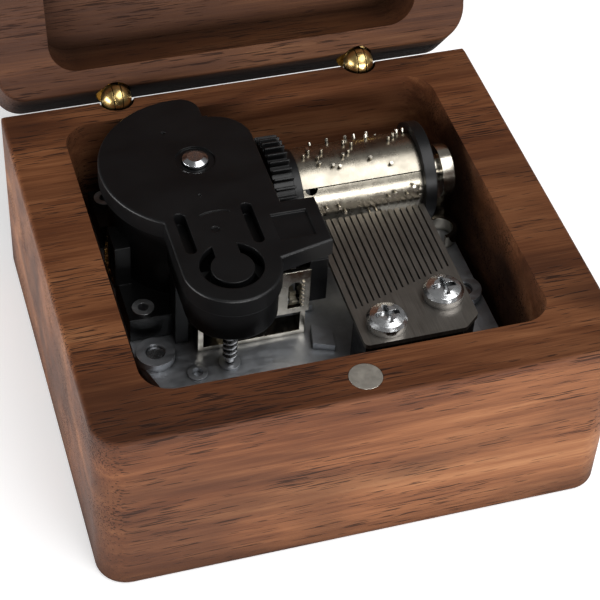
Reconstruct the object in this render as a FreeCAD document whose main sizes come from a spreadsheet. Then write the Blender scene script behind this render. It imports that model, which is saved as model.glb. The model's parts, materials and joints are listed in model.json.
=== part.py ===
import FreeCAD, Part
import Sketcher
import math
import os
import re

from FreeCAD import Placement, Rotation, Vector

# Wind-up music box: a walnut case with a hinged lid, and an 18-note cylinder movement inside.
# Frame: origin at the middle of the case's underside, X along the hinge line, +Y to the back, +Z up.
# The lid is drawn closed and then turned to its open rest position.

SIZES = {
    # walnut case
    "box_length": 76.0, "box_width": 72.3, "box_height": 30.2, "box_corner": 4.5,
    "pocket_length": 59.0, "pocket_width": 56.0, "pocket_floor": 11.6, "pocket_corner": 4.5,
    "edge_round": 0.7, "back_chamfer_run": 3.7, "back_chamfer_drop": 4.75,
    "key_recess_radius": 15.8, "key_recess_depth": 6.5, "arbor_hole_radius": 2.6,
    # lid
    "lid_height": 14.0, "lid_gap": 0.3, "lid_recess_depth": 8.5, "lid_recess_back": 27.2,
    "lid_chamfer_run": 5.2, "lid_chamfer_rise": 6.9, "open_angle": 105.0,
    # barrel hinges
    "hinge_spacing": 39.6, "pivot_back": 32.7, "hinge_hole_radius": 2.75, "barrel_radius": 2.7,
    "knuckle_radius": 2.4, "knuckle_slot": 1.5, "knuckle_tongue": 1.2, "barrel_offset": 3.8,
    "barrel_depth": 6.0, "hinge_pin_radius": 0.5, "pin_clearance": 0.05,
    # closing magnets
    "magnet_radius": 2.35, "magnet_thick": 2.5, "magnet_front": 32.2,
    # bedplate
    "plate_thick": 2.0, "plate_left": 26.2, "plate_right": 28.5, "plate_front": 21.0, "plate_back": 26.5,
    "plate_cut_side": 15.0, "plate_cut_front": 5.0,
    "boss_radius": 2.9, "boss_rise": 1.3, "mount_screw_radius": 1.5, "mount_head_radius": 2.7,
    "screw_sink": 6.0,
    # winding arbor, barrel and mainspring
    "arbor_x": -12.4, "arbor_y": 12.3, "arbor_radius": 1.5, "arbor_top_radius": 1.95,
    "barrel_outer": 9.0, "barrel_wall": 0.7, "barrel_bottom": 14.1, "barrel_top": 29.0,
    "crown_inner": 10.9, "crown_outer": 13.9, "crown_teeth": 54, "crown_disc": 0.5,
    "crown_tooth_rise": 0.9, "crown_tooth_width": 0.42,
    "spring_thick": 0.45, "spring_pitch": 0.95, "spring_turns": 5.6,
    "key_span": 13.4, "key_thick": 1.8, "key_rise": 4.6, "key_clearance": 0.9,
    # black plastic cover and frame
    "cover_top": 33.6, "cover_split": 30.6, "cover_radius": 14.4, "cover_side": 2.6,
    "tongue_x": -12.88, "tongue_y": -10.5, "tongue_radius": 7.2, "frame_bottom": 25.5,
    "shoulder_x": -8.2, "shoulder_y": 16.0, "shoulder_radius": 5.6, "disc_cut": 6.2, "disc_corner": 3.0,
    "cover_edge": 0.35, "cover_wall": 0.9, "spring_room": 11.4, "spring_room_height": 1.6,
    "cup_room_height": 1.9, "ring_well_radius": 3.0, "ring_well_depth": 0.3,
    "vent_front": -7.0, "vent_back": 1.5, "vent_width": 1.7, "vent_skin": 0.8,
    "dial_outer": 4.6, "dial_inner": 3.1, "dial_skin": 1.2, "dial_neck": 3.6, "mark_depth": 0.2,
    "wing_right": 2.5, "wing_back": 0.6, "wing_front": 10.6, "wing_bottom": 29.0,
    "tongue_step": 0.45, "tongue_length": 10.6, "cup_floor": 0.8, "cup_wall": 0.9,
    "wing_tuck": 0.15, "wing_front_left": -9.6, "wing_front_right": -7.6, "wing_back_edge": 0.45,
    "foot_rise": 2.0, "window_width": 2.4, "window_length": 5.0, "window_height": 7.5, "window_rim": 1.6,
    "leg_width": 2.0, "leg_length": 3.6, "pillar_width": 2.75, "pillar_length": 2.2, "pillar_bottom": 20.8,
    "shelf_length": 3.6, "shelf_width": 4.3, "tab_thick": 1.0, "tab_width": 4.4, "eyelet_hole": 1.2,
    "housing_outer": 13.2, "housing_inner": 9.6, "housing_bottom": 16.0,
    # pinned cylinder and its gear, turning about X
    "cyl_y": 12.3, "cyl_z": 24.0, "cyl_radius": 6.5, "cyl_wall": 0.45, "cyl_left": 3.1,
    "cyl_right": 22.1, "seam_angle": 137.0, "seam_width": 0.15, "notch_radius": 0.95,
    "pin_rise": 0.8, "pin_radius": 0.27, "shaft_radius": 1.0, "running_gap": 0.05,
    "cap_radius": 7.8, "cap_thick": 1.8, "gear_left": -1.5, "gear_right": 1.6,
    "cyl_teeth": 38, "cyl_root": 7.9, "cyl_tip": 9.0,
    # comb
    "comb_top": 24.0, "comb_thick": 0.8, "comb_left": 3.95, "comb_right": 21.85, "comb_front": 21.5,
    "comb_tip": 4.93, "note_count": 18, "slot_width": 0.28, "root_left": 14.1, "root_right": 9.0,
    "comb_screw_radius": 1.5, "comb_head_radius": 3.0, "comb_head_rise": 2.2,
    "comb_screw_left": 8.2, "comb_screw_left_front": 18.0,
    "comb_screw_right": 18.0, "comb_screw_right_front": 14.6,
    # governor train: second wheel, worm wheel and worm
    "second_drop": 10.0, "second_teeth": 10, "second_root": 1.75, "second_tip": 2.5,
    "second_wheel_teeth": 27, "second_wheel_root": 5.7, "second_wheel_tip": 6.55,
    "train_distance": 10.85, "small_distance": 7.9,
    "leaf_teeth": 8, "leaf_root": 1.25, "leaf_tip": 2.0, "axle_radius": 0.6,
    "worm_x": -12.88, "worm_y": -10.65, "worm_pitch": 1.0, "worm_core": 0.65, "worm_tip": 1.1,
    "worm_wheel_teeth": 24, "worm_wheel_root": 3.45, "worm_wheel_tip": 3.95, "worm_distance": 4.77,
    "governor_reach": 5.6,
}


# ---------------------------------------------------------------- document and helpers

doc = FreeCAD.newDocument("music_box")
sheet = doc.addObject("Spreadsheet::Sheet", "Sizes")
for row, (alias, number) in enumerate(SIZES.items(), start=1):
    sheet.set(f"A{row}", alias)
    sheet.set(f"B{row}", str(number))
    sheet.setAlias(f"B{row}", alias)
doc.recompute()

X, Y, Z = Vector(1, 0, 0), Vector(0, 1, 0), Vector(0, 0, 1)
ALONG = {"Z": Rotation(), "X": Rotation(Vector(1, 1, 1), 120), "Y": Rotation(X, -90)}
nodes = {}
counter = {}


def size(alias):
    """The number that the sheet holds for an alias."""
    return float(sheet.get(alias))


def linked(expression):
    """The expression with each alias written as a reference to the sheet."""
    def reference(word):
        return "Sizes." + word.group(0) if word.group(0) in SIZES else word.group(0)
    return re.sub(r"[a-z_]+", reference, str(expression))


def fresh(kind):
    counter[kind] = counter.get(kind, 0) + 1
    return f"{kind}_{counter[kind]}"


def bind(thing, **expressions):
    for prop, expression in expressions.items():
        thing.setExpression(prop, linked(expression))
    return thing


def place(thing, x, y, z, turn=None):
    """Put a thing at a place given by three expressions, after an optional turn."""
    thing.Placement = Placement(Vector(), turn or Rotation())
    for axis, expression in zip("xyz", (x, y, z)):
        thing.setExpression(f"Placement.Base.{axis}", linked(expression))
    return thing


def block(x0, x1, y0, y1, z0, z1):
    """A box between two corners, each given by expressions."""
    thing = doc.addObject("Part::Box", fresh("block"))
    bind(thing, Length=f"({x1}) - ({x0})", Width=f"({y1}) - ({y0})", Height=f"({z1}) - ({z0})")
    return place(thing, x0, y0, z0)


def rod(radius, length, x, y, z, along="Z"):
    thing = doc.addObject("Part::Cylinder", fresh("rod"))
    bind(thing, Radius=radius, Height=length)
    return place(thing, x, y, z, ALONG[along])


def ball(radius, x, y, z):
    thing = doc.addObject("Part::Sphere", fresh("ball"))
    bind(thing, Radius=radius)
    return place(thing, x, y, z)


def cone(radius1, radius2, length, x, y, z, along="Z"):
    thing = doc.addObject("Part::Cone", fresh("cone"))
    bind(thing, Radius1=radius1, Radius2=radius2, Height=length)
    return place(thing, x, y, z, ALONG[along])


def join(*parts):
    if len(parts) == 1:
        return parts[0]
    thing = doc.addObject("Part::MultiFuse", fresh("join"))
    thing.Shapes = list(parts)
    thing.Refine = True
    return thing


def cut(base, *tools):
    thing = doc.addObject("Part::Cut", fresh("cut"))
    thing.Base = base
    thing.Tool = join(*tools)
    thing.Refine = True
    return thing


def common(base, tool):
    thing = doc.addObject("Part::Common", fresh("common"))
    thing.Base = base
    thing.Tool = tool
    return thing


def node(label, thing):
    """Name a finished sub-part."""
    thing.Label = label
    nodes[label] = thing
    return thing


def shaped(label, shape):
    """A sub-part whose shape comes from Part's own functions and the sheet's numbers."""
    thing = doc.addObject("Part::Feature", fresh("shape"))
    thing.Shape = shape
    return node(label, thing)


def open_lid(thing):
    """Turn a piece of the closed lid to the open rest position, about the hinge pins."""
    pivot = Vector(0, size("pivot_back"), pivot_height)
    thing.Placement = Placement(Vector(), Rotation(X, -size("open_angle")), pivot).multiply(thing.Placement)
    return thing


# ---------------------------------------------------------------- sketches

def new_body(label):
    body = doc.addObject("PartDesign::Body", fresh("body"))
    return node(label, body)


def sketch_on(body, role, offset="0"):
    """A sketch on one of the body's own origin planes, raised by an expression."""
    sketch = body.newObject("Sketcher::SketchObject", fresh("sketch"))
    planes = [plane for plane in body.Origin.OriginFeatures if plane.Role == role]
    sketch.AttachmentSupport = [(planes[0], "")]
    sketch.MapMode = "FlatFace"
    sketch.setExpression("AttachmentOffset.Base.z", linked(offset))
    return sketch


def pin_point(sketch, geometry, vertex, x, y):
    for kind, expression in (("DistanceX", x), ("DistanceY", y)):
        index = sketch.addConstraint(Sketcher.Constraint(kind, -1, 1, geometry, vertex, 1.0))
        sketch.setExpression(f"Constraints[{index}]", linked(expression))


def add_outline(sketch, corners):
    """A closed outline of straight lines, each corner pinned by two expressions."""
    count = len(corners)
    turn = [Vector(math.cos(2 * math.pi * i / count), math.sin(2 * math.pi * i / count), 0)
            for i in range(count)]
    first = sketch.GeometryCount
    for i in range(count):
        sketch.addGeometry(Part.LineSegment(turn[i] * 10, turn[(i + 1) % count] * 10), False)
    for i in range(count):
        follower = first + (i + 1) % count
        sketch.addConstraint(Sketcher.Constraint("Coincident", first + i, 2, follower, 1))
    for i, (x, y) in enumerate(corners):
        pin_point(sketch, first + i, 1, x, y)


def add_circle(sketch, radius, x="0", y="0"):
    index = sketch.addGeometry(Part.Circle(Vector(), Z, 1.0), False)
    radius_index = sketch.addConstraint(Sketcher.Constraint("Radius", index, 1.0))
    sketch.setExpression(f"Constraints[{radius_index}]", linked(radius))
    pin_point(sketch, index, 3, x, y)


def rectangle(x0, x1, y0, y1):
    return [(x0, y0), (x1, y0), (x1, y1), (x0, y1)]


def pad(body, sketch, length):
    feature = body.newObject("PartDesign::Pad", fresh("pad"))
    feature.Profile = sketch
    bind(feature, Length=length)
    doc.recompute()
    return feature


def pocket(body, sketch, depth, upward=True):
    """Cut a sketch into the body, and check that it took something away."""
    before = body.Shape.Volume
    feature = body.newObject("PartDesign::Pocket", fresh("pocket"))
    feature.Profile = sketch
    feature.Reversed = upward
    bind(feature, Length=depth)
    doc.recompute()
    if body.Shape.Volume >= before - 1e-6:
        raise RuntimeError(f"{body.Label}: {feature.Name} cuts nothing {body.Tip.State}")
    return feature


def fillet(body, base, radius, chosen):
    """Round the edges of a feature that the test picks."""
    edges = [f"Edge{i}" for i, edge in enumerate(base.Shape.Edges, start=1) if chosen(edge)]
    feature = body.newObject("PartDesign::Fillet", fresh("fillet"))
    feature.Base = (base, edges)
    bind(feature, Radius=radius)
    doc.recompute()
    return feature


def upright(edge):
    """True for a straight edge along Z."""
    ends = [vertex.Point for vertex in edge.Vertexes]
    return len(ends) == 2 and math.hypot(ends[0].x - ends[1].x, ends[0].y - ends[1].y) < 1e-6


def at_height(edge, height):
    return all(abs(vertex.Z - height) < 1e-6 for vertex in edge.Vertexes)


def toothed_wheel(label, teeth, root, tip, thick, bore, phase, x, y, z, root_width, tip_width):
    """A wheel on an axle along X: a disc, one straight-sided tooth, and its polar pattern."""
    body = new_body(label)
    disc = sketch_on(body, "XY_Plane")
    add_circle(disc, root)
    if bore:
        add_circle(disc, bore)
    pad(body, disc, thick)
    tooth = sketch_on(body, "XY_Plane")
    inner = f"({root}) - 0.15"
    add_outline(tooth, [(inner, f"-({root_width}) / 2"), (tip, f"-({tip_width}) / 2"),
                        (tip, f"({tip_width}) / 2"), (inner, f"({root_width}) / 2")])
    one = pad(body, tooth, thick)
    around(body, one, teeth)
    return place(body, x, y, z, Rotation(X, phase).multiply(ALONG["X"]))


def around(body, feature, count):
    """Repeat a feature about the body's own Z axis."""
    pattern = body.newObject("PartDesign::PolarPattern", fresh("pattern"))
    pattern.Originals = [feature]
    axes = [axis for axis in body.Origin.OriginFeatures if axis.Role == "Z_Axis"]
    pattern.Axis = (axes[0], [""])
    pattern.Angle = 360.0
    bind(pattern, Occurrences=count)
    body.Tip = pattern
    doc.recompute()
    return pattern


def mating_phase(direction, driver_teeth, driver_phase, teeth):
    """The phase that puts a tooth of the second wheel in a gap of the first.

    direction points from the first wheel's centre to the second's, in degrees.
    """
    pitch = 360.0 / driver_teeth
    fraction = ((direction - driver_phase) % pitch) / pitch
    return direction + 180.0 - (0.5 - fraction) * 360.0 / teeth


# ---------------------------------------------------------------- places that several pieces share

pivot_height = size("box_height") + size("lid_gap") / 2
plate_top = "pocket_floor + plate_thick"
pivot_z = "box_height + lid_gap / 2"
drop = math.radians(size("second_drop"))
second_y = size("cyl_y") - size("train_distance") * math.cos(drop)
second_z = size("cyl_z") - size("train_distance") * math.sin(drop)
wheel_y = size("worm_y") + size("worm_distance")
wheel_z = second_z - math.sqrt(size("small_distance") ** 2 - (second_y - wheel_y) ** 2)
SCREW_PLACES = [("-23.2", "-7.0"), ("25.5", "-5.6"), ("12.0", "20.2")]
FOOT_PLACES = [("-23.6", "-0.9"), ("-24.0", "23.9")]


# ---------------------------------------------------------------- walnut case and lid

def make_box_body():
    body = new_body("box_body")
    outer = sketch_on(body, "XY_Plane")
    add_outline(outer, rectangle("-box_length / 2", "box_length / 2", "-box_width / 2", "box_width / 2"))
    solid = pad(body, outer, "box_height")
    rounded = fillet(body, solid, "box_corner", upright)
    wedge = sketch_on(body, "YZ_Plane", "-box_length / 2 - 1")
    back = "box_width / 2"
    slope = "back_chamfer_drop / back_chamfer_run"
    add_outline(wedge, [(f"{back} - back_chamfer_run - 0.2", f"box_height + 0.2 * {slope}"),
                        (f"{back} + 1", f"box_height + 0.2 * {slope}"),
                        (f"{back} + 1", f"box_height - (back_chamfer_run + 1) * {slope}")])
    pocket(body, wedge, "box_length + 2", True)
    soft = fillet(body, body.Tip, "edge_round", lambda edge: outer_rim(edge))
    well = sketch_on(body, "XY_Plane", "pocket_floor")
    add_outline(well, rectangle("-pocket_length / 2", "pocket_length / 2",
                                "-pocket_width / 2", "pocket_width / 2"))
    pocket(body, well, "box_height")
    fillet(body, body.Tip, "pocket_corner", inner_upright)
    recess = sketch_on(body, "XY_Plane")
    add_circle(recess, "key_recess_radius", "arbor_x", "arbor_y")
    pocket(body, recess, "key_recess_depth")
    through = sketch_on(body, "XY_Plane")
    add_circle(through, "arbor_hole_radius", "arbor_x", "arbor_y")
    for x, y in SCREW_PLACES:
        add_circle(through, "mount_screw_radius + 0.2", x, y)
    pocket(body, through, "pocket_floor + 1")
    sink = sketch_on(body, "XY_Plane")
    for x, y in SCREW_PLACES:
        add_circle(sink, "mount_head_radius + 0.3", x, y)
    pocket(body, sink, "screw_sink")
    drilled = sketch_on(body, "XY_Plane", f"{pivot_z} - barrel_offset - barrel_depth - 0.05")
    for side in ("-", ""):
        add_circle(drilled, "hinge_hole_radius", f"{side}hinge_spacing / 2", "pivot_back")
    pocket(body, drilled, "barrel_depth + barrel_offset + 2")
    seat = sketch_on(body, "XY_Plane", "box_height - magnet_thick - 0.05")
    add_circle(seat, "magnet_radius + 0.05", "0", "-magnet_front")
    pocket(body, seat, "magnet_thick + 1")
    return soft


def outer_rim(edge):
    """The case's outer top and bottom edges, apart from the chamfer's."""
    low = at_height(edge, 0.0)
    high = at_height(edge, size("box_height"))
    middle = edge.valueAt((edge.FirstParameter + edge.LastParameter) / 2)
    chamfer_start = size("box_width") / 2 - size("back_chamfer_run")
    return low or (high and middle.y < chamfer_start - 0.1)


def inner_upright(edge):
    ends = [vertex.Point for vertex in edge.Vertexes]
    if not upright(edge) or min(end.z for end in ends) < size("pocket_floor") - 0.01:
        return False
    return abs(abs(ends[0].x) - size("pocket_length") / 2) < 0.01


def make_lid():
    body = new_body("lid")
    low = "box_height + lid_gap"
    outer = sketch_on(body, "XY_Plane", low)
    add_outline(outer, rectangle("-box_length / 2", "box_length / 2", "-box_width / 2", "box_width / 2"))
    pad(body, outer, "lid_height")
    wedge = sketch_on(body, "YZ_Plane", "-box_length / 2 - 1")
    back = "box_width / 2"
    slope = "lid_chamfer_rise / lid_chamfer_run"
    add_outline(wedge, [(f"{back} - lid_chamfer_run - 0.2", f"{low} - 0.2 * {slope}"),
                        (f"{back} + 1", f"{low} - 0.2 * {slope}"),
                        (f"{back} + 1", f"{low} + (lid_chamfer_run + 1) * {slope}")])
    pocket(body, wedge, "box_length + 2", True)
    fillet(body, body.Tip, "box_corner", lid_corner)
    fillet(body, body.Tip, "edge_round", lid_rim)
    hollow = sketch_on(body, "XY_Plane", low)
    add_outline(hollow, rectangle("-pocket_length / 2", "pocket_length / 2",
                                  "-pocket_width / 2", "lid_recess_back"))
    pocket(body, hollow, "lid_recess_depth")
    fillet(body, body.Tip, "pocket_corner", lid_inner_upright)
    drilled = sketch_on(body, "XY_Plane", f"{low} - 1")
    for side in ("-", ""):
        add_circle(drilled, "hinge_hole_radius", f"{side}hinge_spacing / 2", "pivot_back")
    pocket(body, drilled, "barrel_depth + barrel_offset + 1")
    seat = sketch_on(body, "XY_Plane", f"{low} - 1")
    add_circle(seat, "magnet_radius + 0.05", "0", "-magnet_front")
    pocket(body, seat, "magnet_thick + 1.05")
    open_lid(body)


def lid_corner(edge):
    """The lid's upright corner edges, and the two that slope up beside its back chamfer."""
    ends = [vertex.Point for vertex in edge.Vertexes]
    return len(ends) == 2 and abs(ends[0].x - ends[1].x) < 1e-6 and abs(ends[0].z - ends[1].z) > 1.0


def lid_rim(edge):
    low = size("box_height") + size("lid_gap")
    return at_height(edge, low + size("lid_height")) or at_height(edge, low)


def lid_inner_upright(edge):
    ends = [vertex.Point for vertex in edge.Vertexes]
    return upright(edge) and abs(abs(ends[0].x) - size("pocket_length") / 2) < 0.01


def make_magnets():
    node("box_magnet", rod("magnet_radius", "magnet_thick", "0", "-magnet_front",
                           "box_height - magnet_thick"))
    node("lid_magnet", open_lid(settled(rod("magnet_radius", "magnet_thick", "0", "-magnet_front",
                                            "box_height + lid_gap"))))


def settled(thing):
    """Work out a primitive's place, then free it from its expressions so that it can be turned."""
    doc.recompute()
    for prop, _ in list(thing.ExpressionEngine):
        if prop.startswith(".Placement") or prop.startswith("Placement"):
            thing.setExpression(prop, None)
    return thing


def hinge_leaf(x, upward):
    """One half of a barrel hinge: a barrel set in the wood, a neck, and a round knuckle."""
    start = f"{pivot_z} + barrel_offset" if upward else f"{pivot_z} - barrel_offset - barrel_depth"
    neck_start = pivot_z if upward else f"{pivot_z} - barrel_offset"
    barrel = rod("barrel_radius", "barrel_depth", x, "pivot_back", start)
    knuckle = join(ball("knuckle_radius", x, "pivot_back", pivot_z),
                   rod("knuckle_radius", "barrel_offset", x, "pivot_back", neck_start))
    half = "knuckle_tongue / 2" if upward else "knuckle_slot / 2"
    reach = "(knuckle_radius + 1)"
    height = "(barrel_offset + 0.5)" if upward else reach
    slab = block(f"{x} - {half}", f"{x} + {half}", f"pivot_back - {reach}", f"pivot_back + {reach}",
                 f"{pivot_z} - {height}", f"{pivot_z} + {height}")
    shaped_knuckle = common(knuckle, slab) if upward else cut(knuckle, slab)
    clearance = "pin_clearance" if upward else "0"
    bore = rod(f"hinge_pin_radius + {clearance}", f"2 * {reach}", f"{x} - {reach}", "pivot_back",
               pivot_z, "X")
    return cut(join(barrel, shaped_knuckle), bore)


def make_hinges():
    for side, sign in (("left", "-"), ("right", "")):
        x = f"{sign}hinge_spacing / 2"
        node(f"{side}_hinge_lower_barrel", hinge_leaf(x, False))
        node(f"{side}_hinge_upper_barrel", open_lid(hinge_leaf(x, True)))
        node(f"{side}_hinge_pin", rod("hinge_pin_radius", "2 * knuckle_radius - 0.4",
                                      f"{x} - knuckle_radius + 0.2", "pivot_back", pivot_z, "X"))


# ---------------------------------------------------------------- bedplate and what stands on it

def make_bedplate():
    body = new_body("bedplate")
    outline = sketch_on(body, "XY_Plane", "pocket_floor")
    add_outline(outline, [("-plate_left", "plate_back"), ("-plate_left", "plate_cut_side - plate_front"),
                          ("plate_cut_front - plate_left", "-plate_front"),
                          ("plate_right - 6", "-plate_front"), ("plate_right", "6 - plate_front"),
                          ("plate_right", "plate_back - 4"), ("plate_right - 4", "plate_back")])
    slab = pad(body, outline, "plate_thick")
    fillet(body, slab, "1.5", upright)
    bosses = sketch_on(body, "XY_Plane", plate_top)
    for x, y in SCREW_PLACES:
        add_circle(bosses, "boss_radius", x, y)
    pad(body, bosses, "boss_rise")
    rings = sketch_on(body, "XY_Plane", plate_top)
    add_circle(rings, "1.6", "worm_x", "worm_y")
    add_circle(rings, "1.5", "-18.0", "-11.6")
    pad(body, rings, "0.35")
    ribs = sketch_on(body, "XY_Plane", plate_top)
    add_outline(ribs, rectangle("-0.4", "2.0", "-3.4", "2.0"))
    add_outline(ribs, [("-0.2", "-11.0"), ("2.9", "-12.2"), ("3.4", "-8.6"), ("0.6", "-7.2")])
    add_outline(ribs, rectangle("22.6", "25.2", "-16.0", "-11.0"))
    pad(body, ribs, "1.2")
    holes = sketch_on(body, "XY_Plane", "pocket_floor")
    add_circle(holes, "arbor_radius + running_gap", "arbor_x", "arbor_y")
    for x, y in SCREW_PLACES:
        add_circle(holes, "mount_screw_radius", x, y)
    for x, y in FOOT_PLACES:
        add_circle(holes, "1.2", x, y)
    for x, y in comb_screw_places():
        add_circle(holes, "comb_screw_radius", x, y)
    pocket(body, holes, "plate_thick + boss_rise + 1")
    dimples = sketch_on(body, "XY_Plane", f"{plate_top} + 0.35")
    add_circle(dimples, "0.55", "worm_x", "worm_y")
    add_circle(dimples, "0.8", "-18.0", "-11.6")
    pocket(body, dimples, "0.8", False)


def comb_screw_places():
    return [("comb_screw_left", "-comb_screw_left_front"), ("comb_screw_right", "-comb_screw_right_front")]


def make_mounting_screws():
    screws = []
    for x, y in SCREW_PLACES:
        head = rod("mount_head_radius", "1.8", x, y, "screw_sink - 1.8")
        shank = rod("mount_screw_radius", f"{plate_top} + boss_rise - screw_sink - 0.5", x, y, "screw_sink")
        slot = block(f"{x} - mount_head_radius", f"{x} + mount_head_radius", f"{y} - 0.35", f"{y} + 0.35",
                     "screw_sink - 1.8", "screw_sink - 1.0")
        screws.append(cut(join(head, shank), slot))
    node("mounting_screws", grouped(screws))


def grouped(things):
    """Separate solids that share one node."""
    group = doc.addObject("Part::Compound", fresh("group"))
    group.Links = things
    return group


def make_comb():
    root_step = "(root_left - root_right) / (note_count - 2)"
    low = "comb_top - comb_thick"
    plate = new_body("comb_blank")
    nodes.pop("comb_blank")
    outline = sketch_on(plate, "XY_Plane", low)
    add_outline(outline, [("comb_left", "comb_tip"), ("comb_left", "-comb_front"),
                          ("comb_right - 2.6", "-comb_front"), ("comb_right", "2.2 - comb_front"),
                          ("comb_right", "comb_tip")])
    solid = pad(plate, outline, "comb_thick")
    fillet(plate, solid, "0.8", lambda edge: upright(edge) and edge.Vertexes[0].Y < 0)
    holes = sketch_on(plate, "XY_Plane", low)
    for x, y in comb_screw_places():
        add_circle(holes, "comb_screw_radius + 0.1", x, y)
    pocket(plate, holes, "comb_thick")
    slots = []
    for index in range(int(size("note_count")) - 1):
        middle = f"comb_left + (comb_right - comb_left) * {index + 1} / note_count"
        slots.append(block(f"{middle} - slot_width / 2", f"{middle} + slot_width / 2",
                           f"{index} * {root_step} - root_left", "comb_tip + 1",
                           f"{low} - 1", "comb_top + 1"))
    node("comb", cut(plate, *slots))

    anvil = new_body("comb_anvil")
    base = sketch_on(anvil, "XY_Plane", plate_top)
    add_outline(base, [("comb_left + 0.3", "0.5 - comb_front"), ("comb_right - 2.8", "0.5 - comb_front"),
                       ("comb_right - 0.3", "2.4 - comb_front"), ("comb_right - 0.3", "-root_right - 0.9"),
                       ("comb_left + 0.3", "-root_left - 0.9")])
    pad(anvil, base, f"comb_top - comb_thick - ({plate_top})")
    holes = sketch_on(anvil, "XY_Plane", plate_top)
    for x, y in comb_screw_places():
        add_circle(holes, "comb_screw_radius", x, y)
    pocket(anvil, holes, "comb_top")


def make_comb_screws():
    screws = []
    for x, y in comb_screw_places():
        head = rod("comb_head_radius", "comb_head_rise - 0.9", x, y, "comb_top")
        shoulder = cone("comb_head_radius", "comb_head_radius - 0.45", "0.5", x, y,
                        "comb_top + comb_head_rise - 0.9")
        crown = cone("comb_head_radius - 0.45", "comb_head_radius - 1.5", "0.4", x, y,
                     "comb_top + comb_head_rise - 0.4")
        shank = rod("comb_screw_radius", "comb_top - pocket_floor - 0.5", x, y, "pocket_floor + 0.5")
        arms = [block(f"{x} - {a}", f"{x} + {a}", f"{y} - {b}", f"{y} + {b}",
                      "comb_top + comb_head_rise - 1.2", "comb_top + comb_head_rise + 1")
                for a, b in (("1.8", "0.4"), ("0.4", "1.8"))]
        screws.append(cut(join(head, shoulder, crown, shank), *arms))
    node("comb_screws", grouped(screws))


# ---------------------------------------------------------------- black plastic cover and frame

SLOT_PLACES = (-17.68, -7.78)
COVER_MARKS = ((-13.3, -2.9, 0.65), (-15.6, 19.3, 0.3), (-13.7, 4.6, 0.25))  # x, y and radius of each dimple
COVER_ARC = (-12.55, -4.5, 5.45, 0.28, 4.5)  # centre x, centre y, radius, width and span of the groove


def cover_outline(low, high, shrink=0.0):
    """The cover's plan: a round over the spring, a shoulder by the gear, a tongue and a wing."""
    side = -size("cover_side") - shrink
    r = size("cover_radius") - shrink
    centre = Vector(size("arbor_x"), size("arbor_y"), low)
    height = high - low
    round_part = Part.makeCylinder(r, height, centre)
    keep = Part.makeBox(60, 60, height, Vector(side - size("disc_cut") - 60, -20, low))
    round_part = round_part.common(keep)
    corner = max((edge for edge in round_part.Edges if edge.BoundBox.ZLength > height / 2),
                 key=lambda edge: (edge.CenterOfMass.x > side - size("disc_cut") - 0.01, edge.CenterOfMass.y))
    round_part = round_part.makeFillet(size("disc_corner"), [corner])
    shoulder = Part.makeCylinder(size("shoulder_radius") - shrink, height,
                                 Vector(size("shoulder_x"), size("shoulder_y"), low))
    bridge = Part.makeBox(side + 12.0, 16.0, height, Vector(-12.0, 0.0, low))
    neck = Part.makeBox(6.0, 22.0, height, Vector(-14.0, 0.0, low))
    half = size("tongue_radius") - shrink
    x0 = size("tongue_x")
    y0 = size("tongue_y")
    tongue = Part.makeBox(2 * half, 6.0 - y0, height, Vector(x0 - half, y0, low))
    tip = Part.makeCylinder(half, height, Vector(x0, y0, low))
    wing_points = [(x0, size("wing_back") - shrink), (size("wing_right") - shrink, size("wing_back") - shrink),
                   (size("wing_right") - shrink, 1.75 - size("wing_front") + shrink),
                   (x0, -1.6 - size("wing_front") + shrink)]
    corners = [Vector(px, py, low) for px, py in wing_points]
    wing = Part.Face(Part.makePolygon(corners + corners[:1])).extrude(Vector(0, 0, height))
    return round_part.multiFuse([shoulder, bridge, neck, tongue, tip, wing]).removeSplitter()


def slot_shape(x, y0, y1, width, low, high):
    """A round-ended slot along Y."""
    radius = width / 2
    middle = Part.makeBox(width, y1 - y0 - width, high - low, Vector(x - radius, y0 + radius, low))
    ends = [Part.makeCylinder(radius, high - low, Vector(x, y, low)) for y in (y0 + radius, y1 - radius)]
    return middle.multiFuse(ends)


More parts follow.
